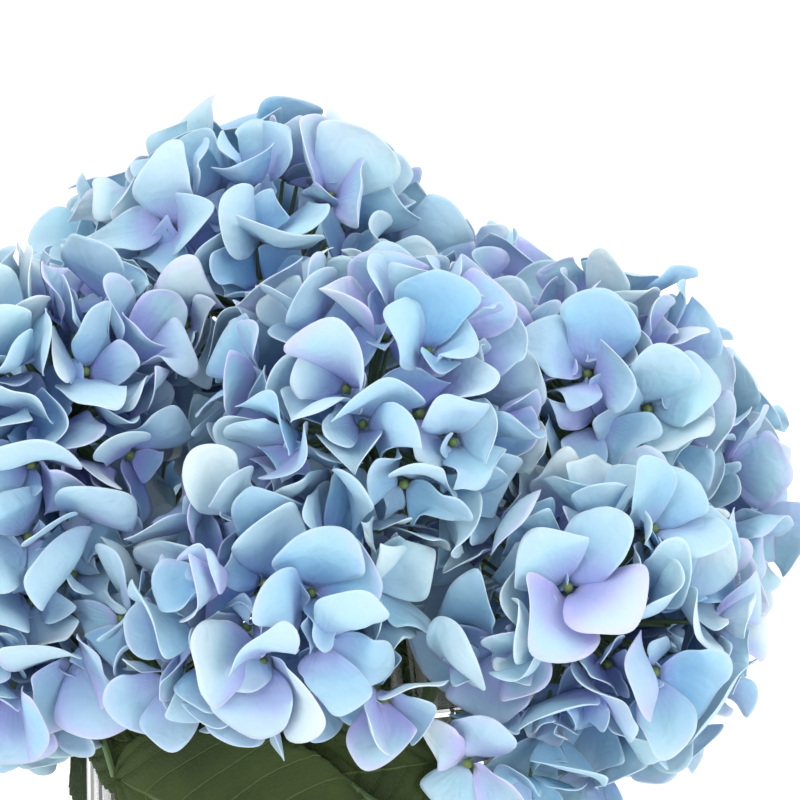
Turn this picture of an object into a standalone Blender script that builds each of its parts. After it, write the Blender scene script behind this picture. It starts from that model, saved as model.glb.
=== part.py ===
"""Blue hydrangea bouquet standing in a clear glass cylinder vase.

Metres, +Z up. The origin is the centre of the vase's foot, on the surface that it stands on.
The bouquet is twelve flower heads on stems. Each head is a dome of florets, modelled here as one
soft solid: a ball trimmed flat where it presses on its neighbours, where it faces its stem and
where it clears the vase's rim. Six leaves wrap round the outside of the vase below the heads.
"""

import math

import bmesh
import bpy
from mathutils import Matrix, Vector

# Vase
VASE_RADIUS = 0.0762
VASE_HEIGHT = 0.1524
GLASS_WALL = 0.0042
GLASS_BASE = 0.012
FOOT_CHAMFER = 0.002
HEEL_ROUND = 0.006
VASE_SIDES = 48

# Flower heads
HEAD_GAP = 0.0006
HEAD_BACK = 0.42  # how far behind a head's middle its flat underside lies, as a share of its radius
RIM_SPACE = 0.0109  # from the rim's outer corner to the undersides that slope over it
HEART_DROP = 0.010  # the point that the heads face away from lies this far below the rim
HEAD_SIDES = 20
HEAD_RINGS = 11

# Stems
STEM_RADIUS = 0.0022
STEM_POINTS = 11
FIT_GAP = 0.0004
STEM_SINK = 0.35  # how far past a head's underside its stem runs, as a share of the head's radius

# Leaves
LEAF_THICKNESS = 0.0008
LEAF_ROWS = 18
LEAF_COLUMNS = 6
TOOTH = 0.035  # depth of the margin's teeth, as a share of the half width
LEAF_OFF_GLASS = 0.0022
LAYER_STEP = 0.0030
LEAF_TOP = 0.004  # the leaves' upper margins stay this far below the rim
FLARE_START = 0.030
FLARE = 0.35  # outward slope of the leaves' free lower part
STALK_RADIUS = 0.0012
STALK_POINTS = 19
STALK_RISE = 0.0034  # height of a stalk's middle above the rim where it crosses

# Name, compass angle (0 is +X, 90 is +Y), distance from the axis, height above the rim, ball radius.
HEADS = (
    ("top", 151.0, 0.024, 0.110, 0.063),
    ("upper_front", -78.0, 0.056, 0.083, 0.054),
    ("upper_right", -7.0, 0.080, 0.083, 0.047),
    ("upper_back_right", 62.0, 0.075, 0.082, 0.052),
    ("upper_back_left", 130.0, 0.078, 0.096, 0.056),
    ("upper_left", -157.0, 0.090, 0.083, 0.054),
)
# The lower heads lean over the rim, so their distance is counted from the vase's own radius.
RIM_HEADS = (
    ("front", -100.0, 0.002, 0.036, 0.047),
    ("right_front", -36.0, 0.017, 0.025, 0.055),
    ("right_back", 15.0, 0.024, 0.048, 0.051),
    ("back", 76.0, 0.010, 0.029, 0.056),
    ("left_back", 134.0, 0.014, 0.030, 0.055),
    ("left_front", -159.0, 0.022, 0.029, 0.054),
)
# Leaf's name, rim head whose stem it grows from, the way it turns, degrees from stem to blade, layer,
# blade length and width, base below the rim, droop in degrees.
LEAVES = (
    ("front", "left_front", 1, 19.0, 1, 0.110, 0.062, 0.024, 12.0),
    ("front_under", "front", -1, 14.0, 0, 0.063, 0.036, 0.012, 2.0),
    ("right_front", "right_front", -1, 26.0, 0, 0.066, 0.036, 0.014, 4.0),
    ("left_back", "left_front", -1, 29.0, 1, 0.100, 0.058, 0.022, 12.0),
    ("right", "back", -1, 29.0, 1, 0.098, 0.056, 0.022, 12.0),
    ("back", "right_back", 1, 29.0, 0, 0.096, 0.054, 0.024, 10.0),
)

COLOURS = {
    "vase": ((0.90, 0.96, 0.95, 1.0), 0.03),
    "bloom": ((0.46, 0.66, 0.82, 1.0), 0.75),
    "stem": ((0.20, 0.33, 0.12, 1.0), 0.55),
    "leaf": ((0.10, 0.18, 0.06, 1.0), 0.50),
    "stalk": ((0.24, 0.36, 0.14, 1.0), 0.55),
}


def clear_scene():
    for obj in list(bpy.data.objects):
        bpy.data.objects.remove(obj)


def material(kind):
    found = bpy.data.materials.get(kind)
    if found:
        return found
    colour, roughness = COLOURS[kind]
    made = bpy.data.materials.new(kind)
    made.use_nodes = True
    shader = made.node_tree.nodes["Principled BSDF"]
    shader.inputs["Base Color"].default_value = colour
    shader.inputs["Roughness"].default_value = roughness
    shader.inputs["Transmission Weight"].default_value = 1.0 if kind == "vase" else 0.0
    made.diffuse_color = colour
    return made


def add(name, data, kind):
    """A new object in the scene, with the material of its kind."""
    obj = bpy.data.objects.new(name, data)
    data.materials.append(material(kind))
    bpy.context.scene.collection.objects.link(obj)
    return obj


def mesh_object(name, bm, kind, smooth_angle=40.0):
    mesh = bpy.data.meshes.new(name)
    bm.to_mesh(mesh)
    bm.free()
    mesh.shade_smooth()
    mesh.set_sharp_from_angle(angle=math.radians(smooth_angle))
    return add(name, mesh, kind)


def around(angle, radius, height):
    """A point at a compass angle in degrees, a distance from the axis and a height."""
    turn = math.radians(angle)
    return Vector((radius * math.cos(turn), radius * math.sin(turn), height))


def arc(middle_x, middle_z, radius, start, end, steps):
    """Points of an arc in the XZ plane, from one angle in degrees to another."""
    turns = [math.radians(start + (end - start) * i / steps) for i in range(steps + 1)]
    return [(middle_x + radius * math.cos(t), middle_z + radius * math.sin(t)) for t in turns]


def make_vase():
    inner = VASE_RADIUS - GLASS_WALL
    lip = GLASS_WALL / 2
    profile = [(0.0, 0.0), (VASE_RADIUS - FOOT_CHAMFER, 0.0), (VASE_RADIUS, FOOT_CHAMFER)]
    profile += arc(VASE_RADIUS - lip, VASE_HEIGHT - lip, lip, 0, 180, 4)
    profile += arc(inner - HEEL_ROUND, GLASS_BASE + HEEL_ROUND, HEEL_ROUND, 0, -90, 3)
    profile += [(0.0, GLASS_BASE)]
    bm = bmesh.new()
    points = [bm.verts.new((x, 0.0, z)) for x, z in profile]
    edges = [bm.edges.new(pair) for pair in zip(points, points[1:])]
    bmesh.ops.spin(
        bm,
        geom=points + edges,
        axis=(0, 0, 1),
        cent=(0, 0, 0),
        angle=math.tau,
        steps=VASE_SIDES,
        use_merge=True,
    )
    bmesh.ops.remove_doubles(bm, verts=bm.verts, dist=1e-6)
    bmesh.ops.recalc_face_normals(bm, faces=bm.faces)
    return mesh_object("vase", bm, "vase")


def head_places():
    """Each head's name, middle, ball radius and the way that it faces, out from the bouquet's heart."""
    heart = Vector((0.0, 0.0, VASE_HEIGHT - HEART_DROP))
    places = {}
    for name, angle, reach, rise, ball in HEADS:
        middle = around(angle, reach, VASE_HEIGHT + rise)
        places[name] = (middle, ball, (middle - heart).normalized())
    for name, angle, beyond, rise, ball in RIM_HEADS:
        middle = around(angle, VASE_RADIUS + beyond, VASE_HEIGHT + rise)
        places[name] = (middle, ball, (middle - heart).normalized())
    return places


def trim(bm, point, outward):
    """Cuts off what lies beyond a plane, and closes the cut."""
    geometry = bm.verts[:] + bm.edges[:] + bm.faces[:]
    bmesh.ops.bisect_plane(bm, geom=geometry, plane_co=point, plane_no=outward, clear_outer=True)
    bmesh.ops.holes_fill(bm, edges=[e for e in bm.edges if e.is_boundary], sides=0)


def make_head(name, places, stem_cutter):
    middle, ball, facing = places[name]
    bm = bmesh.new()
    pose = Matrix.Translation(middle) @ facing.to_track_quat("Z", "Y").to_matrix().to_4x4()
    bmesh.ops.create_uvsphere(
        bm, u_segments=HEAD_SIDES, v_segments=HEAD_RINGS, radius=ball, matrix=pose
    )
    for other, (far_middle, far_ball, _) in places.items():
        way = far_middle - middle
        if other == name or way.length > ball + far_ball:
            continue
        # The plane through the circle in which the two balls meet
        along = (way.length_squared + ball**2 - far_ball**2) / (2 * way.length)
        side = way.normalized()
        trim(bm, middle + side * (along - HEAD_GAP / 2), side)
    trim(bm, middle - facing * ball * HEAD_BACK, -facing)
    if name in {row[0] for row in RIM_HEADS}:
        out = Vector((middle.x, middle.y, 0)).normalized()
        slope = (out + Vector((0, 0, 1))).normalized()
        corner = out * VASE_RADIUS + Vector((0, 0, VASE_HEIGHT))
        trim(bm, corner + slope * RIM_SPACE, -slope)
    bmesh.ops.recalc_face_normals(bm, faces=bm.faces)
    head = mesh_object("bloom_" + name, bm, "bloom")
    hole = head.modifiers.new("stem_hole", "BOOLEAN")
    hole.operation = "DIFFERENCE"
    hole.solver = "EXACT"
    hole.object = stem_cutter
    return head


def bezier(points, share):
    """A point on the smooth curve that a list of control points draws."""
    while len(points) > 1:
        points = [a.lerp(b, share) for a, b in zip(points, points[1:])]
    return points[0]


def stem_line(name, places, extra=0.0):
    """A stem's centreline, from the vase's floor into the back of its head."""
    middle, ball, facing = places[name]
    angle = math.degrees(math.atan2(middle.y, middle.x))
    inner = VASE_RADIUS - GLASS_WALL
    floor = GLASS_BASE + FIT_GAP
    if name in {row[0] for row in RIM_HEADS}:
        foot, mouth = 0.46 * inner, 0.72 * inner
    elif name == "top":
        foot, mouth = 0.02 * inner, 0.04 * inner
    else:
        foot, mouth = 0.22 * inner, 0.30 * inner
    end = middle + facing * (ball * (STEM_SINK - HEAD_BACK) + extra)
    bend = middle - facing * ball * 0.9
    controls = [
        around(angle, foot, floor),
        around(angle, foot, floor + 0.45 * VASE_HEIGHT),
        around(angle, mouth, VASE_HEIGHT),
        bend,
        end,
    ]
    return [bezier(controls, i / (STEM_POINTS - 1)) for i in range(STEM_POINTS)]


def tube(name, points, radius, kind):
    """A capped tube along a line of points."""
    curve = bpy.data.curves.new(name, "CURVE")
    curve.dimensions = "3D"
    curve.bevel_depth = radius
    curve.bevel_resolution = 2
    curve.use_fill_caps = True
    spline = curve.splines.new("POLY")
    spline.points.add(len(points) - 1)
    for target, point in zip(spline.points, points):
        target.co = (*point, 1.0)
    return add(name, curve, kind)


def make_stem_cutter(places):
    """Every stem again, a little fatter and longer, as one hidden cutter for the heads."""
    bm = bmesh.new()
    for name in places:
        line = stem_line(name, places, extra=FIT_GAP)
        line[0] = line[0] - Vector((0, 0, FIT_GAP))
        guide = tube("guide_" + name, line, STEM_RADIUS + FIT_GAP, "stem")
        bpy.context.view_layer.update()
        solid = bpy.data.meshes.new_from_object(
            guide.evaluated_get(bpy.context.evaluated_depsgraph_get())
        )
        bm.from_mesh(solid)
        bpy.data.objects.remove(guide)
    bmesh.ops.remove_doubles(bm, verts=bm.verts, dist=1e-6)
    bmesh.ops.recalc_face_normals(bm, faces=bm.faces)
    cutter = mesh_object("stem_cutter", bm, "stem")
    cutter.hide_render = True
    cutter.display_type = "WIRE"
    return cutter


def leaf_radius(layer, height):
    """Distance of a leaf's inner face from the axis: close to the glass, then flaring out lower down."""
    free = max(0.0, VASE_HEIGHT - FLARE_START - height)
    near = VASE_RADIUS + LEAF_OFF_GLASS + layer * LAYER_STEP
    return near + FLARE * free * free / (free + FLARE_START)


def half_width(share):
    """The blade's half width along its length, as a share of its greatest half width."""
    return max(0.04, math.sin(math.pi * share**0.8) ** 0.62)


def stem_angle(stem_name):
    return next(row[1] for row in RIM_HEADS if row[0] == stem_name)


def make_leaf(name, stem_name, turn, sweep, layer, length, width, below, droop):
    start_angle = stem_angle(stem_name) + turn * sweep
    lean = math.radians(droop)
    wrap = VASE_RADIUS + LEAF_OFF_GLASS + layer * LAYER_STEP
    bm = bmesh.new()
    bmesh.ops.create_grid(bm, x_segments=LEAF_ROWS, y_segments=LEAF_COLUMNS, size=1.0)
    for vert in bm.verts:
        share = (vert.co.x + 1) / 2
        row = round(share * LEAF_ROWS)
        side = vert.co.y
        along = share * length
        midrib = VASE_HEIGHT - below - along * math.sin(lean)
        room = (VASE_HEIGHT - LEAF_TOP - midrib) / math.cos(lean)
        half = width / 2 * half_width(share)
        across = side * (min(half, room) if side > 0 else half)
        if abs(side) > 0.99 and 0 < row < LEAF_ROWS:
            across *= 1 + TOOTH * (0 if row % 2 else -1)
        sideways = along * math.cos(lean) + across * math.sin(lean)
        height = midrib + across * math.cos(lean)
        angle = start_angle + turn * math.degrees(sideways / wrap)
        vert.co = around(angle, leaf_radius(layer, height), height)
    if turn < 0:
        bmesh.ops.reverse_faces(bm, faces=bm.faces)
    leaf = mesh_object("leaf_" + name, bm, "leaf")
    body = leaf.modifiers.new("thickness", "SOLIDIFY")
    body.thickness = LEAF_THICKNESS
    body.offset = 1.0
    return leaf


def through(points, count):
    """A smooth curve through a few points, as a list of evenly shared points."""
    ends = [points[0] * 2 - points[1], *points, points[-1] * 2 - points[-2]]
    line = []
    for i in range(count):
        place = (len(points) - 1) * i / (count - 1)
        k = min(int(place), len(points) - 2)
        t = place - k
        a, b, c, d = ends[k : k + 4]
        bend = (c - a) * t + (2 * a - 5 * b + 4 * c - d) * t**2 + (3 * b - a - 3 * c + d) * t**3
        line.append(b + bend / 2)
    return line


def make_stalk(places, name, stem_name, turn, sweep, layer, below):
    """A leaf's stalk, from beside its stem over the rim and down to the blade's base."""
    angle = stem_angle(stem_name)
    line = stem_line(stem_name, places)
    near = min(line, key=lambda p: abs(p.z - (VASE_HEIGHT - 0.014)))
    inner = VASE_RADIUS - GLASS_WALL
    outside = VASE_RADIUS + LEAF_OFF_GLASS + layer * LAYER_STEP + LEAF_THICKNESS / 2
    over = VASE_HEIGHT + STALK_RISE
    start = math.hypot(near.x, near.y)
    beside = math.degrees((STEM_RADIUS + STALK_RADIUS + FIT_GAP) / start)
    end_height = VASE_HEIGHT - below
    end_radius = leaf_radius(layer, end_height) + LEAF_THICKNESS / 2
    route = [
        around(angle + turn * (beside + 0.4), start, near.z),
        around(angle + 0.20 * turn * sweep, inner - 0.005, over - 0.001),
        around(angle + 0.32 * turn * sweep, VASE_RADIUS - GLASS_WALL / 2, over + 0.0006),
        around(angle + 0.52 * turn * sweep, outside + 0.0006, over - 0.0045),
        around(angle + turn * (sweep - 1.2), end_radius, end_height),
    ]
    return tube("leaf_stalk_" + name, through(route, STALK_POINTS), STALK_RADIUS, "stalk")


def main():
    clear_scene()
    places = head_places()
    make_vase()
    cutter = make_stem_cutter(places)
    for name in places:
        tube("stem_" + name, stem_line(name, places), STEM_RADIUS, "stem")
        make_head(name, places, cutter)
    for row in LEAVES:
        make_leaf(*row)
        make_stalk(places, *row[:5], row[7])


main()
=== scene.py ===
import math

import bmesh
import bpy
import numpy as np
from mathutils import Matrix, Vector
from mathutils.bvhtree import BVHTree


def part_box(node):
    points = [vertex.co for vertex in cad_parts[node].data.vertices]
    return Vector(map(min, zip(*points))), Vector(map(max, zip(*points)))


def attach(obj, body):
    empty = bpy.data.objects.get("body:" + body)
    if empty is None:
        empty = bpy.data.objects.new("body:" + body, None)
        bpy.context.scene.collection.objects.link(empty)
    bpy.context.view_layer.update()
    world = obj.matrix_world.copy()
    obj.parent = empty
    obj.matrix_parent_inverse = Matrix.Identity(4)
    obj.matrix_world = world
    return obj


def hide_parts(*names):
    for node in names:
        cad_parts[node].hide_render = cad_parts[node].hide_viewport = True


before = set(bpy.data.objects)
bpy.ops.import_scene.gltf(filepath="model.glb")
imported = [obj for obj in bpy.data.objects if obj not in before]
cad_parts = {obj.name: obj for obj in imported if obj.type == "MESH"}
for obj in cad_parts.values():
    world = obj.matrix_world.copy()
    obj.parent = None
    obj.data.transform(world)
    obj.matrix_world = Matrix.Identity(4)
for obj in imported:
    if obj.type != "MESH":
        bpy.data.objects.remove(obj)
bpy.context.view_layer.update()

vaseLow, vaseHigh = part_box("vase")
rimHeight = vaseHigh[2]
vaseRadius = (vaseHigh[0] - vaseLow[0]) / 2


# shader maths

class Field:
    # one socket of a material, with the arithmetic that the materials below use
    def __init__(self, surface, socket):
        self.surface = surface
        self.socket = socket

    def maths(self, operation, first, second=None):
        return self.surface.node("ShaderNodeMath", {"operation": operation}, {0: first, 1: second})

    def __add__(self, other):
        return self.maths("ADD", self, other)

    def __radd__(self, other):
        return self.maths("ADD", other, self)

    def __sub__(self, other):
        return self.maths("SUBTRACT", self, other)

    def __rsub__(self, other):
        return self.maths("SUBTRACT", other, self)

    def __mul__(self, other):
        return self.maths("MULTIPLY", self, other)

    def __pow__(self, other):
        return self.maths("POWER", self, other)

    def __abs__(self):
        return self.maths("ABSOLUTE", self)

    def ramp(self, low, high):
        # 0 below low, 1 above high, smooth between
        return self.surface.node(
            "ShaderNodeMapRange",
            {"interpolation_type": "SMOOTHSTEP", "clamp": True},
            {"Value": self, "From Min": low, "From Max": high, "To Min": 0.0, "To Max": 1.0},
        )


class Surface:
    # a material, its Principled shader and one method that makes any other node
    def __init__(self, name, **fixed):
        self.material = bpy.data.materials.new(name)
        self.material.use_nodes = True
        self.tree = self.material.node_tree
        self.shader = self.tree.nodes["Principled BSDF"]
        for socket, value in fixed.items():
            self.shader.inputs[socket.replace("_", " ")].default_value = value

    def feed(self, socket, value):
        if isinstance(value, Field):
            self.tree.links.new(value.socket, socket)
        elif value is not None:
            socket.default_value = value

    def node(self, kind, settings=None, inputs=None, output=0):
        made = self.tree.nodes.new(kind)
        for name, value in (settings or {}).items():
            setattr(made, name, value)
        for name, value in (inputs or {}).items():
            self.feed(made.inputs[name], value)
        return Field(self, made.outputs[output])

    def paint(self, name, value):
        self.feed(self.shader.inputs[name], value)

    def place(self, output="Object"):
        return self.node("ShaderNodeTexCoord", output=output)

    def parts(self, vector):
        split = self.node("ShaderNodeSeparateXYZ", inputs={0: vector}).socket.node
        return [Field(self, socket) for socket in split.outputs]

    def tone(self, attribute):
        # the three numbers of a colour attribute
        read = self.node("ShaderNodeAttribute", {"attribute_name": attribute}, output="Color")
        split = self.node("ShaderNodeSeparateColor", inputs={0: read}).socket.node
        return [Field(self, socket) for socket in split.outputs]

    def noise(self, vector, scale, detail=2.0, roughness=0.5, distortion=0.0):
        return self.node(
            "ShaderNodeTexNoise",
            inputs={
                "Vector": vector, "Scale": scale, "Detail": detail,
                "Roughness": roughness, "Distortion": distortion,
            },
        )

    def mix(self, amount, first, second, blend="MIX"):
        return self.node(
            "ShaderNodeMix", {"data_type": "RGBA", "blend_type": blend, "clamp_factor": True},
            {0: amount, 6: first, 7: second}, output=2,
        )

    def bump(self, height, distance, strength=1.0, normal=None):
        return self.node(
            "ShaderNodeBump",
            inputs={"Height": height, "Distance": distance, "Strength": strength, "Normal": normal},
        )


def finishPiece(name, bm, surface, slotName, smooth=True):
    mesh = bpy.data.meshes.new(name)
    bm.to_mesh(mesh)
    bm.free()
    if smooth:
        mesh.shade_smooth()
    mesh.materials.append(surface.material)
    piece = bpy.data.objects.new(name, mesh)
    bpy.context.scene.collection.objects.link(piece)
    if slotName:
        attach(piece, "root")
    return piece


def around(angle, radius, height):
    turn = math.radians(angle)
    return Vector((radius * math.cos(turn), radius * math.sin(turn), height))


# camera, floor and light

stageSettings = {
    "aimRight": 0.0216, "aimAboveRim": 0.0826, "elevation": 8.0,
    "distance": 1.2, "lens": 175.0,
    "floorRadius": 24.0, "glow": 0.22, "world": 1.05,
}


def buildStage(s):
    aim = Vector((s["aimRight"], 0.0, rimHeight + s["aimAboveRim"]))
    tilt = math.radians(s["elevation"])
    camera = bpy.data.objects.new("camera", bpy.data.cameras.new("camera"))
    camera.data.lens = s["lens"]
    camera.data.clip_end = 100.0
    camera.location = aim + Vector((0.0, -math.cos(tilt), math.sin(tilt))) * s["distance"]
    camera.rotation_euler = (aim - camera.location).to_track_quat("-Z", "Y").to_euler()
    bpy.context.scene.collection.objects.link(camera)
    bpy.context.scene.camera = camera

    floorPaint = Surface("paleFloor", Roughness=0.9, Specular_IOR_Level=0.1, Emission_Strength=s["glow"])
    floorPaint.shader.inputs["Emission Color"].default_value = (1.0, 1.0, 1.0, 1.0)
    speckle = floorPaint.noise(floorPaint.place(), 3.0, 3.0)
    floorPaint.paint("Base Color", floorPaint.mix(speckle, (0.93, 0.93, 0.935, 1), (0.95, 0.95, 0.95, 1)))
    bm = bmesh.new()
    bmesh.ops.create_circle(bm, cap_ends=True, segments=64, radius=s["floorRadius"])
    bmesh.ops.translate(bm, vec=(0, 0, -0.0004), verts=bm.verts)
    finishPiece("floor", bm, floorPaint, None, smooth=False)

    world = bpy.data.worlds.new("studio")
    world.use_nodes = True
    world.node_tree.nodes["Background"].inputs["Color"].default_value = (0.97, 0.985, 1.0, 1)
    world.node_tree.nodes["Background"].inputs["Strength"].default_value = s["world"]
    bpy.context.scene.world = world
    bpy.context.scene.view_settings.view_transform = "Standard"

    lamps = {
        "keyLight": ((-0.9, -1.5, 1.7), 1.1, 10.5),
        "fillLight": ((1.2, -1.6, 0.5), 1.2, 8.5),
        "topLight": ((0.1, 0.3, 2.0), 1.4, 9.0),
    }
    for name, (spot, size, power) in lamps.items():
        lamp = bpy.data.objects.new(name, bpy.data.lights.new(name, "AREA"))
        lamp.data.shape = "DISK"
        lamp.data.size = size
        lamp.data.energy = power
        lamp.location = spot
        lamp.rotation_euler = (aim - Vector(spot)).to_track_quat("-Z", "Y").to_euler()
        bpy.context.scene.collection.objects.link(lamp)
    print("stage ready")


# flower heads

# compass angle, distance from the axis, height above the rim, radius: the CAD's own places
headPlaces = {
    "top": (151.0, 0.024, 0.110, 0.063),
    "upper_front": (-78.0, 0.056, 0.083, 0.054),
    "upper_right": (-7.0, 0.080, 0.083, 0.047),
    "upper_back_right": (62.0, 0.075, 0.082, 0.052),
    "upper_back_left": (130.0, 0.078, 0.096, 0.056),
    "upper_left": (-157.0, 0.090, 0.083, 0.054),
    "front": (-100.0, vaseRadius + 0.002, 0.036, 0.047),
    "right_front": (-36.0, vaseRadius + 0.017, 0.025, 0.055),
    "right_back": (15.0, vaseRadius + 0.024, 0.048, 0.051),
    "back": (76.0, vaseRadius + 0.010, 0.029, 0.056),
    "left_back": (134.0, vaseRadius + 0.014, 0.030, 0.055),
    "left_front": (-159.0, vaseRadius + 0.022, 0.029, 0.054),
}

floretSettings = {
    "spread": 0.00062,  # head surface that each floret takes, in square metres
    "depth": (0.015, 0.028),  # floret's middle below the head's surface
    "tilt": 0.28,
    "opening": (14.0, 66.0),  # degrees that the petals rise from flat
    "lap": (12.0, 24.0),  # each petal tips like a propeller's blade and overlaps the next
    "hub": 0.0017,
    "turnStray": (-9, 9), "openingStray": (-12, 14),  # degrees by which each petal strays
    "upperRise": 6, "upperLift": 0.0008,  # every other petal rises more and starts higher
    "petalLength": (0.026, 0.032),
    "petalWidth": (0.027, 0.033),
    "size": (0.78, 1.08),  # a whole floret's petals are smaller or larger by this share
    "grid": 7,
    "thickness": 0.00028,
    "shadeFrom": 0.005, "shadeOver": 0.028, "deepestShade": 0.9,  # painted shade: petals darken toward deep blue down inside a head, where shade falls
    "bead": 0.0015, "beadAbove": 0.0016,
    "twig": (0.0009, 0.0006), "twigSides": 7, "shortestTwig": 0.004, "twigRoot": 0.10,
    "unevenWay": 0.07,  # how far each floret strays from its even place round the ball
    "lowest": -0.50,  # cosine from the head's facing beyond which the stem side stays bare
    "siteRoom": 0.011, "edgeRoom": 0.012,  # clearance of a floret and of its petals' tips from the vase
    "neighbourRoom": 0.002,
}

valleySettings = {
    # share of the way to the next rim head, out from the glass, above the rim, degrees that it faces up
    "florets": ((0.36, 0.013, -0.002, -24.0), (0.64, 0.014, 0.000, -20.0), (0.50, 0.016, 0.016, 4.0)),
    "leftOfLeaf": ((0.31, 0.013, 0.011, -8.0), (0.66, 0.013, 0.012, -8.0), (0.50, 0.016, 0.028, 6.0)),
    "rightOfLeaf": (
        (0.32, 0.014, 0.009, -10.0), (0.58, 0.015, -0.012, -30.0), (0.50, 0.016, 0.020, 4.0),
        (0.78, 0.017, -0.019, -40.0), (1.00, 0.020, -0.020, -44.0),
    ),
    "spare": 0.010,  # these may stand out of their head's ball this far
}
heartBelowRim = 0.010
rimHeads = ("front", "right_front", "right_back", "back", "left_back", "left_front")

growthSettings = {
    "steps": 60, "passes": 3, "soften": 0.3, "startScale": 0.20, "gap": 0.0033,
    "push": 0.8, "keep": 0.94, "pull": 0.22, "tucks": 12, "smallest": 0.5,
    "proud": (-0.005, 0.006),  # how far each petal may stand out of its head's ball
    "firmness": 2.2,  # share along a petal, times this, is how much it can be pushed
    "openBy": 0.72,  # share of the steps by which the petals reach full size
    "search": 1.4,  # neighbours are looked for this many gaps away
    "crowded": 0.2,  # petal bases up to this share of the length don't press on each other
    "mostMove": 0.5,  # of the gap, in one pass
    "ease": 0.8, "catchUp": 3.0, "giveWay": 0.8,  # a pressed point takes its whole petal along
    "pullBack": 0.35,  # of what stands out of the head's ball, in one step
    "aboveRim": 0.004, "offGlass": 0.0065,
    "cutFrom": 0.25,  # share along a petal from which a crossing counts
    "tuckBy": 0.88,
}


def headCentres():
    # each head's middle, radius and the way that it faces, away from the heart of the bunch
    heart = Vector((0.0, 0.0, rimHeight - heartBelowRim))
    heads = {}
    for name, (angle, reach, rise, ball) in headPlaces.items():
        middle = around(angle, reach, rimHeight + rise)
        heads[name] = (middle, ball, (middle - heart).normalized())
    return heads


def clearOfVase(point, room):
    # True where a point keeps room from the glass and from the vase's mouth
    beyond = math.hypot(point.x, point.y) - vaseRadius
    return beyond > room or point.z > rimHeight + room


def floretSites(name, heads, rng):
    # points spread evenly over a head's ball, without those that its neighbours or the vase hide
    s = floretSettings
    middle, ball, facing = heads[name]
    count = int(4 * math.pi * ball**2 / s["spread"])
    sites = []
    for k in range(count):
        height = 1 - 2 * (k + 0.5) / count
        turn = k * math.pi * (3 - math.sqrt(5)) + len(name)
        ring = math.sqrt(1 - height**2)
        way = Vector((ring * math.cos(turn), ring * math.sin(turn), height))
        way = (facing.to_track_quat("Z", "Y") @ way).normalized()
        way = (way + Vector(rng.normal(0, s["unevenWay"], 3))).normalized()
        site = middle + way * (ball - rng.uniform(*s["depth"]))
        edge = middle + way * ball
        if way.dot(facing) < s["lowest"]:
            continue
        hidden = False
        for other, (far, farBall, _) in heads.items():
            gap = far - middle
            if other == name or gap.length > ball + farBall:
                continue
            along = (gap.length_squared + ball**2 - farBall**2) / (2 * gap.length)
            if (site - middle).dot(gap.normalized()) > along - s["neighbourRoom"]:
                hidden = True
        if hidden or not clearOfVase(site, s["siteRoom"]) or not clearOfVase(edge, s["edgeRoom"]):
            continue
        sites.append((site, way))
    return sites


def valleySites(heads):
    # a few florets hang over the rim in each valley between two rim heads, and belong to the nearer head
    s = valleySettings
    ring = sorted((headPlaces[name][0] % 360, name) for name in rimHeads)
    sites = {name: [] for name in heads}
    for (angle, name), (nextAngle, _) in zip(ring, ring[1:] + ring[:1]):
        rows = {"left_front": s["leftOfLeaf"], "front": s["rightOfLeaf"]}.get(name, s["florets"])
        for share, out, above, face in rows:
            way = around(angle + (nextAngle - angle) % 360 * share, 1.0, 0.0)
            site = way * (vaseRadius + out) + Vector((0, 0, rimHeight + above))
            facing = way * math.cos(math.radians(face)) + Vector((0, 0, math.sin(math.radians(face))))
            owner = min(rimHeads, key=lambda key: (heads[key][0] - site).length - heads[key][1])
            sites[owner].append((site, facing.normalized()))
    return sites


petalShape = {
    "claw": 0.42, "widening": 0.58, "clawEnd": 1.15, "clawCurve": 0.55,  # width at the base, and beyond it
    "bumps": ((3, 0.01, 0.04), (5, 0.01, 0.03), (8, 0.00, 0.02)),  # how many round the edge, least and most
    "notch": (-0.05, 0.07), "cup": (-0.15, 0.55), "roll": (-0.9, 0.55), "rollHeight": 0.22,
    "crease": 0.0010, "creaseWidth": 0.16,
    "waves": (3, 6), "waveHeight": (0.015, 0.05),
    "sway": 0.16, "twist": 0.35,
}
fullTurn = 6.28


def petalOutline(grid):
    # a square grid rounded to a disc, narrowed to a claw at the base
    bm = bmesh.new()
    bmesh.ops.create_grid(bm, x_segments=grid - 1, y_segments=grid - 1, size=1.0)
    square = np.array([vert.co[:] for vert in bm.verts])
    bm.free()
    a, b = square[:, 0], square[:, 1]
    x = a * np.sqrt(1 - b**2 / 2)
    y = b * np.sqrt(1 - a**2 / 2)
    order = np.lexsort((a, b))
    return x, y, order


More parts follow.
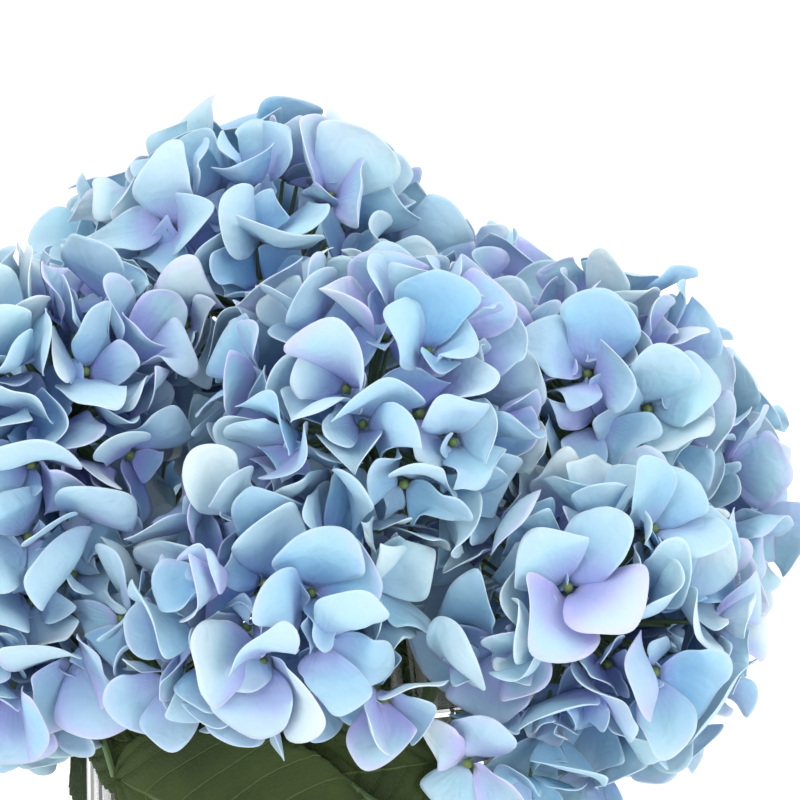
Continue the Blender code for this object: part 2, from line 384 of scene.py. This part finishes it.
def restPetal(x, y, width, length, rng):
    # one petal lying along +Y from its base, cupped toward +Z
    s = petalShape
    waist = np.clip((y + 1) / s["clawEnd"], 0, 1)
    narrow = s["claw"] + s["widening"] * waist ** s["clawCurve"]
    edge = np.sqrt(x**2 + y**2)
    turn = np.arctan2(x, y)
    uneven = 1 + edge**4 * sum(
        rng.uniform(least, most) * np.sin(number * turn + rng.uniform(0, fullTurn))
        for number, least, most in s["bumps"]
    )
    across = x * narrow * uneven * width / 2
    along = (y * np.where(y > 0, uneven, 1) + 1) * length / 2
    notch = rng.uniform(*s["notch"])
    along = along + length * notch * (1 - np.abs(x)) * np.clip(y, 0, 1) ** 3
    cup = rng.uniform(*s["cup"])
    roll = rng.uniform(*s["roll"])
    lift = cup * across**2 / width * 2.0
    lift = lift + roll * length * s["rollHeight"] * np.clip((y + 0.2) / 1.2, 0, 1) ** 2
    crease = s["crease"] * np.exp(-(x / s["creaseWidth"]) ** 2) * np.clip(y + 0.9, 0, 1) * (y < 0.85)
    lift = lift - crease
    waves = rng.integers(*s["waves"])
    lift = lift + length * rng.uniform(*s["waveHeight"]) * edge**3 * np.sin(
        waves * np.arctan2(x, y + 1.2) * 2 + rng.uniform(0, fullTurn)
    )
    sway = rng.uniform(-s["sway"], s["sway"]) * length
    across = across + sway * ((y + 1) / 2) ** 2
    twist = rng.uniform(-s["twist"], s["twist"]) * np.clip(y + 1, 0, 2) / 2
    sideways = across * np.cos(twist) - lift * np.sin(twist)
    upward = across * np.sin(twist) + lift * np.cos(twist)
    return np.stack([sideways, along, upward], 1)


def nearPairs(points, owners, reach):
    # index pairs of points of different petals that lie within reach of each other
    cells = np.floor(points / reach).astype(np.int64)
    cells -= cells.min(axis=0) - 1
    size = cells.max(axis=0) + 2
    key = (cells[:, 0] * size[1] + cells[:, 1]) * size[2] + cells[:, 2]
    order = np.argsort(key, kind="stable")
    ranked = key[order]
    count = len(points)
    firsts, seconds = [], []
    offsets = [(0, 0, 0)] + [
        (i, j, k) for i in (-1, 0, 1) for j in (-1, 0, 1) for k in (-1, 0, 1) if (i, j, k) > (0, 0, 0)
    ]
    for i, j, k in offsets:
        shift = (i * size[1] + j) * size[2] + k
        low = np.searchsorted(ranked, ranked + shift, "left")
        high = np.searchsorted(ranked, ranked + shift, "right")
        if shift == 0:
            low = np.maximum(low, np.arange(count) + 1)
        number = np.maximum(high - low, 0)
        a = np.repeat(np.arange(count), number)
        b = np.arange(number.sum()) - np.repeat(np.cumsum(number) - number, number) + np.repeat(low, number)
        a, b = order[a], order[b]
        apart = owners[a] != owners[b]
        a, b = a[apart], b[apart]
        close = ((points[a] - points[b]) ** 2).sum(1) < reach**2
        firsts.append(a[close])
        seconds.append(b[close])
    return np.concatenate(firsts), np.concatenate(seconds)


def smoothOver(field, grid, soften):
    # evens out a displacement over each petal's grid
    shaped = field.reshape(-1, grid, grid, 3)
    padded = np.pad(shaped, ((0, 0), (1, 1), (1, 1), (0, 0)), mode="edge")
    spread = (padded[:, :-2, 1:-1] + padded[:, 2:, 1:-1] + padded[:, 1:-1, :-2] + padded[:, 1:-1, 2:]) / 4
    return ((1 - soften) * shaped + soften * spread).reshape(field.shape)


def growPetals(petals):
    # all petals open together from small, and those that meet press each other aside
    s, grid = growthSettings, floretSettings["grid"]
    rest = petals["rest"]
    base = petals["base"][:, None]
    frames = petals["frames"]
    count, size = rest.shape[:2]
    firm = np.clip(petals["share"] * s["firmness"], 0, 1)[None, :, None] * np.ones((count, 1, 1))
    centre = petals["centre"][:, None]
    limit = petals["limit"][:, None]
    now = base + s["startScale"] * np.einsum("nab,nmb->nma", frames, rest)
    # each grid point and each face's middle can touch another petal
    cells = np.arange(size).reshape(grid, grid)
    corners = np.stack([cells[:-1, :-1], cells[1:, :-1], cells[:-1, 1:], cells[1:, 1:]]).reshape(4, -1)
    touch = np.zeros((size + corners.shape[1], size))
    touch[np.arange(size), np.arange(size)] = 1
    for corner in corners:
        touch[size + np.arange(corners.shape[1]), corner] = 0.25
    touch = touch[touch @ petals["share"] > s["crowded"]]
    owners = np.repeat(np.arange(count), len(touch))
    firmAt = np.tile(np.clip(touch @ petals["share"] * s["firmness"], 0, 1), count)
    for step in range(s["steps"]):
        opened = min(1.0, step / (s["steps"] * s["openBy"]))
        scale = s["startScale"] + (1 - s["startScale"]) * opened
        spread = np.einsum("nma,nmb->nab", now - base, rest) / (rest**2).sum((1, 2))[:, None, None]
        spread = spread / scale + s["pull"] * frames
        left, _, right = np.linalg.svd(spread)
        flip = np.sign(np.linalg.det(left @ right))
        left[:, :, 2] *= flip[:, None]
        turn = left @ right
        aim = base + scale * np.einsum("nab,nmb->nma", turn, rest)
        drift = smoothOver(now - aim, grid, s["soften"]) * firm * s["keep"]
        now = aim + drift
        gap = s["gap"] * scale
        for again in range(s["passes"]):
            probe = np.einsum("pm,nma->npa", touch, now).reshape(-1, 3)
            if again == 0 and step % 2 == 0:
                first, second = nearPairs(probe, owners, gap * s["search"])
                weight = (firmAt[first] * firmAt[second])[:, None]
            apart = probe[first] - probe[second]
            length = np.sqrt((apart**2).sum(1))[:, None] + 1e-9
            shove = np.clip(gap - length, 0, None) * apart / length * s["push"] / 2 * weight
            moved = np.zeros_like(probe)
            for axis in range(3):
                moved[:, axis] += np.bincount(first, shove[:, axis], len(probe))
                moved[:, axis] -= np.bincount(second, shove[:, axis], len(probe))
            moved = np.clip(moved, -gap * s["mostMove"], gap * s["mostMove"]).reshape(count, -1, 3)
            moved = np.einsum("pm,npa->nma", touch, moved)
            # a whole petal gives way smoothly, by as much as its most pressed point asks
            eased = smoothOver(smoothOver(moved, grid, s["ease"]), grid, s["ease"])
            most = np.sqrt((moved**2).sum(2)).max(1)
            least = np.sqrt((eased**2).sum(2)).max(1) + 1e-9
            now = now + eased * np.minimum(most / least, s["catchUp"])[:, None, None] * s["giveWay"]
        out = now - centre
        far = np.sqrt((out**2).sum(2))[:, :, None]
        now = now - out / far * np.clip(far - limit[:, :, None], 0, None) * s["pullBack"]
        # petals stay off the glass and out of the mouth
        across = np.sqrt(now[:, :, 0] ** 2 + now[:, :, 1] ** 2)
        low = rimHeight + s["aboveRim"] - now[:, :, 2]
        inside = vaseRadius + s["offGlass"] - across
        blocked = (low > 0) & (inside > 0)
        lifts = blocked & (low < inside)
        now[:, :, 2] += np.where(lifts, low, 0)
        outward = np.where(blocked & ~lifts, inside / np.maximum(across, 1e-6), 0)
        now[:, :, 0] *= 1 + outward
        now[:, :, 1] *= 1 + outward
    return now


def findCrossings(places, petals):
    # pairs of petals whose faces cut each other, apart from the crowded bases
    grid = floretSettings["grid"]
    cells = np.arange(grid * grid).reshape(grid, grid)
    quads = np.stack([cells[:-1, :-1], cells[:-1, 1:], cells[1:, 1:], cells[1:, :-1]], -1).reshape(-1, 4)
    quads = quads[petals["share"][quads].mean(1) > growthSettings["cutFrom"]]
    faces = (quads[None] + np.arange(len(places))[:, None, None] * grid * grid).reshape(-1, 4)
    tree = BVHTree.FromPolygons(places.reshape(-1, 3).tolist(), faces.tolist())
    met = np.array(tree.overlap(tree)) // len(quads)
    return np.unique(met[met[:, 0] < met[:, 1]], axis=0)


def tuckPetals(places, petals):
    # of two petals that still cross, the one deeper in its head stays smaller
    s = growthSettings
    size = np.ones(len(places))
    base = petals["base"][:, None]
    out = np.sqrt(((places - petals["centre"][:, None]) ** 2).sum(2)).max(1) - petals["limit"]
    for _ in range(s["tucks"]):
        crossing = findCrossings(base + (places - base) * size[:, None, None], petals)
        first, second = crossing[:, 0], crossing[:, 1]
        smaller = np.unique(np.where(out[first] < out[second], first, second))
        size[smaller] = np.maximum(size[smaller] * s["tuckBy"], s["smallest"])
        print("crossing pairs", len(crossing), flush=True)
    return base + (places - base) * size[:, None, None]


def planFlorets(heads, rng):
    s = floretSettings
    x, y, order = petalOutline(s["grid"])
    x, y = x[order], y[order]
    rows = {key: [] for key in ("rest", "base", "frames", "centre", "limit", "head", "tone")}
    florets = []
    valleys = valleySites(heads)
    for name, (middle, ball, _) in heads.items():
        sites = [(site, way, 0.0) for site, way in floretSites(name, heads, rng)]
        sites += [(site, way, valleySettings["spare"]) for site, way in valleys[name]]
        for site, way, spare in sites:
            axis = (way + Vector(rng.normal(0, s["tilt"], 3))).normalized()
            side = axis.orthogonal().normalized()
            spin = rng.uniform(0, 360)
            opening = rng.uniform(*s["opening"])
            hue = rng.uniform()
            shade = rng.uniform()
            size = rng.uniform(*s["size"])
            lapped = math.radians(rng.choice((-1, 1)) * rng.uniform(*s["lap"]))
            florets.append((name, site, axis))
            for k in range(4):
                turn = math.radians(spin + 90 * k + rng.uniform(*s["turnStray"]))
                outward = Matrix.Rotation(turn, 3, axis) @ side
                upperPair = k % 2
                rise = math.radians(opening + rng.uniform(*s["openingStray"]) + s["upperRise"] * upperPair)
                along = (outward * math.cos(rise) + axis * math.sin(rise)).normalized()
                across = Matrix.Rotation(lapped, 3, along) @ along.cross(axis).normalized()
                upper = across.cross(along).normalized()
                width = size * rng.uniform(*s["petalWidth"])
                length = size * rng.uniform(*s["petalLength"])
                rows["rest"].append(restPetal(x, y, width, length, rng))
                rows["base"].append(site + outward * s["hub"] + axis * (s["upperLift"] * upperPair))
                rows["frames"].append(np.array([across[:], along[:], upper[:]]).T)
                rows["centre"].append(middle)
                rows["limit"].append(ball + spare + rng.uniform(*growthSettings["proud"]))
                rows["head"].append(name)
                # lilac, then paleness: partly the floret's own and partly the petal's
                rows["tone"].append((hue * 0.6 + rng.uniform() * 0.4, shade * 0.5 + rng.uniform() * 0.5))
    petals = {key: np.array(value) for key, value in rows.items()}
    petals["share"] = (y + 1) / 2
    petals["disc"] = np.stack([x, y], 1)
    print("florets", len(florets), "petals", len(petals["rest"]), flush=True)
    return petals, florets


def petalPaint():
    paint = Surface(
        "petalCloth", Roughness=0.82, Sheen_Weight=0.15, Sheen_Roughness=0.5,
        Subsurface_Weight=0.15, Subsurface_Scale=0.003, Specular_IOR_Level=0.18,
    )
    paint.shader.inputs["Subsurface Radius"].default_value = (0.7, 0.85, 1.0)
    place = paint.place()
    u, v, _ = paint.parts(paint.place("UV"))
    # lilac and paleness are the petal's own tone; the third number is painted shade, larger down inside a
    # head
    lilac, pale, depth = paint.tone("petalToneAndShade")
    x = (u - 0.5) * 2.0
    y = (v - 0.5) * 2.0
    rim = (x * x + y * y) ** 0.5
    blotch = paint.noise(place, 60.0, 3.0, 0.55, 0.4)
    cloud = paint.noise(place, 26.0, 2.0)
    blue = paint.mix(pale, (0.205, 0.46, 0.70, 1), (0.52, 0.69, 0.74, 1))
    cyan = paint.mix((blotch - 0.44) * 2.6, blue, (0.33, 0.61, 0.71, 1))
    wash = paint.mix((cloud - 0.50) * 2.6, cyan, (0.34, 0.49, 0.78, 1))
    # lilac dye creeps up from the base, over the whole of a few petals and in from some edges
    reach = (1.0 - v) * 0.9 + lilac * 0.75 + (cloud - 0.5) * 1.6
    dyed = paint.mix(reach.ramp(0.85, 1.45) * 0.70, wash, (0.41, 0.38, 0.74, 1))
    fringe = rim.ramp(0.55, 1.0) * (lilac + blotch * 0.8 - 0.9).ramp(0.0, 0.4)
    tipped = paint.mix(fringe * 0.75, dyed, (0.50, 0.45, 0.82, 1))
    # some petals fade almost to white toward the tip
    faded = v.ramp(0.30, 1.0) * (0.20 + (pale - 0.55).ramp(0.0, 0.4) * 0.55)
    lightened = paint.mix(faded, tipped, (0.73, 0.81, 0.81, 1))
    edged = paint.mix(rim.ramp(0.90, 1.0) * 0.28, lightened, (0.75, 0.84, 0.85, 1))
    # painted shade: petals turn deep blue down inside a head, where shade falls between the florets
    paintedShade = paint.mix(depth, edged, (0.040, 0.125, 0.50, 1))
    paint.paint("Base Color", paintedShade)
    # veins fan out from the base, and the cloth is woven and a little creased
    fan = paint.node("ShaderNodeMath", {"operation": "ARCTAN2"}, {0: x, 1: y + 1.25})
    vein = paint.node("ShaderNodeMath", {"operation": "SINE"}, {0: fan * 34.0 + (cloud - 0.5) * 6.0})
    weave = paint.noise(place, 1800.0, 2.0, 0.6)
    crease = paint.noise(place, 130.0, 2.0, 0.5, 0.6)
    creased = paint.bump(crease, 0.0016, 0.55)
    veined = paint.bump(vein * 0.5 + 0.5, 0.00010, 0.5, creased)
    paint.paint("Normal", paint.bump(weave, 0.00010, 0.5, veined))
    return paint


def beadPaint():
    paint = Surface("beadGreen", Roughness=0.45)
    place = paint.place()
    grain = paint.noise(place, 700.0, 2.0)
    paint.paint("Base Color", paint.mix(grain, (0.07, 0.12, 0.03, 1), (0.19, 0.25, 0.07, 1)))
    paint.paint("Normal", paint.bump(grain, 0.0002, 0.6))
    return paint


def stalkPaint(name, dark, light):
    paint = Surface(name, Roughness=0.5)
    place = paint.place()
    streak = paint.noise(place, 240.0, 3.0, 0.6)
    broad = paint.noise(place, 30.0, 2.0)
    colour = paint.mix(streak * 0.6 + broad * 0.4, dark, light)
    paint.paint("Base Color", colour)
    paint.paint("Roughness", 0.42 + streak * 0.25)
    paint.paint("Normal", paint.bump(streak, 0.0003, 0.5))
    return paint


def buildHeads():
    s = floretSettings
    rng = np.random.default_rng(11)
    heads = headCentres()
    petals, florets = planFlorets(heads, rng)
    places = tuckPetals(growPetals(petals), petals)
    print("petals grown")
    paint = petalPaint()
    beads, twigs = beadPaint(), stalkPaint("twigGreen", (0.05, 0.10, 0.05, 1), (0.14, 0.22, 0.09, 1))
    grid = s["grid"]
    disc = petals["disc"]
    for name, (middle, ball, facing) in heads.items():
        bm = bmesh.new()
        uvLayer = bm.loops.layers.uv.new("petalMap")
        toneAndShadeLayer = bm.verts.layers.float_color.new("petalToneAndShade")
        for index in np.flatnonzero(petals["head"] == name):
            made = bmesh.ops.create_grid(bm, x_segments=grid - 1, y_segments=grid - 1, size=1.0)["verts"]
            lilac, pale = petals["tone"][index]
            spots = {}
            for vert in made:
                column = round((vert.co.x + 1) / 2 * (grid - 1))
                row = round((vert.co.y + 1) / 2 * (grid - 1))
                spots[vert] = row * grid + column
            faces = {face for vert in made for face in vert.link_faces}
            for face in faces:
                for loop in face.loops:
                    loop[uvLayer].uv = disc[spots[loop.vert]] * 0.5 + 0.5
            for vert, spot in spots.items():
                vert.co = places[index, spot]
                # painted shade: how far a point lies down inside its head, which darkens its colour
                below = (ball - (vert.co - middle).length - s["shadeFrom"]) / s["shadeOver"]
                vert[toneAndShadeLayer] = (lilac, pale, min(1.0, max(0.0, below)) ** 1.3 * s["deepestShade"], 1.0)
        piece = finishPiece("petals_" + name, bm, paint, "petals")
        smoother = piece.modifiers.new("smoother", "SUBSURF")
        smoother.levels = smoother.render_levels = 1
        cloth = piece.modifiers.new("cloth", "SOLIDIFY")
        cloth.thickness = s["thickness"]
        cloth.offset = 0.0
        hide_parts("bloom_" + name)

        bm = bmesh.new()
        bunch = bmesh.new()
        root = middle - facing * ball * s["twigRoot"]
        for owner, site, axis in florets:
            if owner != name:
                continue
            pose = Matrix.Translation(site + axis * s["beadAbove"])
            bmesh.ops.create_icosphere(bm, subdivisions=2, radius=s["bead"], matrix=pose)
            run = site - root
            length = max(run.length, s["shortestTwig"])
            turn = run.to_track_quat("Z", "Y").to_matrix().to_4x4()
            bmesh.ops.create_cone(
                bunch, cap_ends=True, segments=s["twigSides"],
                radius1=s["twig"][0], radius2=s["twig"][1], depth=length,
                matrix=Matrix.Translation((root + site) / 2) @ turn,
            )
        finishPiece("beads_" + name, bm, beads, "green_stem")
        finishPiece("twigs_" + name, bunch, twigs, "green_stem")
    print("heads ready")


# leaves

leafSettings = {
    "thickness": 0.0007, "offGlass": 0.0022, "layerStep": 0.0030,
    "top": 0.004, "flareStart": 0.030, "flare": 0.35,
    "rows": 96, "columns": 24, "teeth": 26, "tooth": 0.0026, "veins": 9.0,
    "curlWidth": 0.0050, "curlTurn": 175.0,  # the upper margin rolls over by this many degrees at most
    "curlReach": 0.17,
    "puff": 0.0008, "ribWidth": 0.16, "midribDip": 0.0006, "midribWidth": 0.07, "dish": 0.0009,
    "ripple": 0.0007, "proud": 0.0002,
}

# its stem's angle, turn, degrees to its base, layer, length, width, base below the rim, droop in degrees,
# share of its length at which the margin rolls over most
leafPlaces = {
    "front": (-159.0, 1, 19.0, 1, 0.110, 0.062, 0.024, 12.0, 0.76),
    "front_under": (-100.0, -1, 14.0, 0, 0.063, 0.036, 0.012, 2.0, 2.0),
    "right_front": (-36.0, -1, 26.0, 0, 0.066, 0.036, 0.014, 4.0, 2.0),
    "left_back": (-159.0, -1, 29.0, 1, 0.100, 0.058, 0.022, 12.0, 2.0),
    "right": (76.0, -1, 29.0, 1, 0.098, 0.056, 0.022, 12.0, 0.55),
    "back": (15.0, 1, 29.0, 0, 0.096, 0.054, 0.024, 10.0, 2.0),
}


def leafRadius(layer, height):
    s = leafSettings
    free = max(0.0, rimHeight - s["flareStart"] - height)
    near = vaseRadius + s["offGlass"] + layer * s["layerStep"]
    return near + s["flare"] * free * free / (free + s["flareStart"])


def leafPaint(name, dark, light, veinColour):
    paint = Surface(
        name, Roughness=0.65, Subsurface_Weight=0.05, Subsurface_Scale=0.002, Specular_IOR_Level=0.15,
    )
    place = paint.place()
    u, v, _ = paint.parts(paint.place("UV"))
    side = abs(v - 0.5) * 2.0
    count = leafSettings["veins"]
    # side veins leave the midrib and sweep toward the tip
    course = (u - side * 0.16 - side * side * 0.10) * count
    wave = abs(course - paint.node("ShaderNodeMath", {"operation": "ROUND"}, {0: course}))
    vein = 1.0 - wave.ramp(0.0, 0.055)
    middle = 1.0 - side.ramp(0.0, 0.05)
    ribs = paint.node("ShaderNodeMath", {"operation": "MAXIMUM"}, {0: vein * 0.8, 1: middle})
    mottle = paint.noise(place, 90.0, 4.0, 0.6)
    broad = paint.noise(place, 22.0, 2.0)
    green = paint.mix((broad - 0.35) * 2.2, dark, light)
    green = paint.mix((mottle - 0.5) * 1.2, green, light)
    paint.paint("Base Color", paint.mix(ribs * 0.50, green, veinColour))
    paint.paint("Roughness", 0.50 + mottle * 0.2)
    net = paint.node(
        "ShaderNodeTexVoronoi", {"feature": "DISTANCE_TO_EDGE"}, {"Vector": place, "Scale": 520.0}
    )
    first = paint.bump(net.ramp(0.0, 0.18), 0.0002, 0.5)
    paint.paint("Normal", paint.bump(1.0 - ribs, 0.0006, 0.7, first))
    return paint


def buildLeaves():
    s = leafSettings
    upper = leafPaint(
        "leafCloth", (0.024, 0.039, 0.010, 1), (0.060, 0.092, 0.022, 1), (0.15, 0.20, 0.08, 1)
    )
    under = leafPaint(
        "leafUnderside", (0.060, 0.095, 0.038, 1), (0.12, 0.18, 0.07, 1), (0.20, 0.27, 0.13, 1)
    )
    for name, place in leafPlaces.items():
        stemAngle, turn, sweep, layer, length, width, below, droop, curlAt = place
        lean = math.radians(droop)
        startAngle = stemAngle + turn * sweep
        wrap = vaseRadius + s["offGlass"] + layer * s["layerStep"]
        bm = bmesh.new()
        uvLayer = bm.loops.layers.uv.new("leafMap")
        bmesh.ops.create_grid(bm, x_segments=s["rows"], y_segments=s["columns"], size=1.0)
        for face in bm.faces:
            for loop in face.loops:
                loop[uvLayer].uv = ((loop.vert.co.x + 1) / 2, (loop.vert.co.y + 1) / 2)
        for vert in bm.verts:
            share, side = (vert.co.x + 1) / 2, vert.co.y
            along = share * length
            midrib = rimHeight - below - along * math.sin(lean)
            room = (rimHeight - s["top"] - midrib) / math.cos(lean)
            half = width / 2 * max(0.04, math.sin(math.pi * share**0.8) ** 0.62)
            reach = min(half, room) if side > 0 else half
            across = side * reach
            # saw teeth along the margin
            saw = (share * s["teeth"]) % 1.0
            across += math.copysign(s["tooth"] * (saw - 0.5) * abs(side) ** 8, side) * min(1.0, half / 0.01)
            # the upper margin rolls outward and down over a short stretch
            rolled = max(0.0, across - (reach - s["curlWidth"])) if side > 0 else 0.0
            rolled *= math.exp(-(((share - curlAt) / s["curlReach"]) ** 2))
            bend = math.radians(s["curlTurn"]) * rolled / s["curlWidth"]
            lifted = 0.0
            if bend > 0.01:
                across += rolled * (math.sin(bend) / bend - 1)
                lifted = rolled * (1 - math.cos(bend)) / bend
            sideways = along * math.cos(lean) + across * math.sin(lean)
            height = midrib + across * math.cos(lean)
            course = (share - abs(side) * 0.16 - side * side * 0.10) * s["veins"]
            ridge = math.exp(-(((course - round(course)) / s["ribWidth"]) ** 2)) * (1 - abs(side) ** 4)
            crown = math.exp(-((side / s["midribWidth"]) ** 2))
            puff = s["puff"] * (1 - ridge) - s["midribDip"] * crown + s["dish"] * side**2
            ripple = s["ripple"] * math.sin(share * 23.0 + side * 2.0) * side**2
            radius = leafRadius(layer, height) + puff + ripple + lifted + s["proud"]
            angle = startAngle + turn * math.degrees(sideways / wrap)
            vert.co = around(angle, radius, height)
        if turn < 0:
            bmesh.ops.reverse_faces(bm, faces=bm.faces)
        piece = finishPiece("leafBlade_" + name, bm, upper, "leaf_green")
        piece.data.materials.append(under.material)
        body = piece.modifiers.new("thickness", "SOLIDIFY")
        body.thickness = s["thickness"]
        body.offset = 1.0
        body.material_offset = 1
        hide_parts("leaf_" + name)
    print("leaves ready")


# glass and stems, whose CAD shapes stay

def glassPaint():
    paint = Surface(
        "clearGlass", Transmission_Weight=1.0, IOR=1.45, Coat_Weight=0.0, Specular_IOR_Level=0.5,
    )
    place = paint.place()
    smear = paint.noise(place, 14.0, 3.0)
    paint.paint("Base Color", paint.mix(smear, (0.985, 0.995, 0.992, 1), (0.995, 0.998, 0.997, 1)))
    paint.paint("Roughness", smear * 0.03)
    return paint


def dressFrame():
    glass = glassPaint()
    green = stalkPaint("stemGreen", (0.07, 0.14, 0.05, 1), (0.20, 0.30, 0.11, 1))
    for name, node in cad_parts.items():
        if name == "vase":
            node.material_slots[0].material = glass.material
        elif name.startswith(("stem_", "leaf_stalk_")):
            node.material_slots[0].material = green.material
    print("glass and stems dressed")


buildStage(stageSettings)
buildHeads()
buildLeaves()
dressFrame()
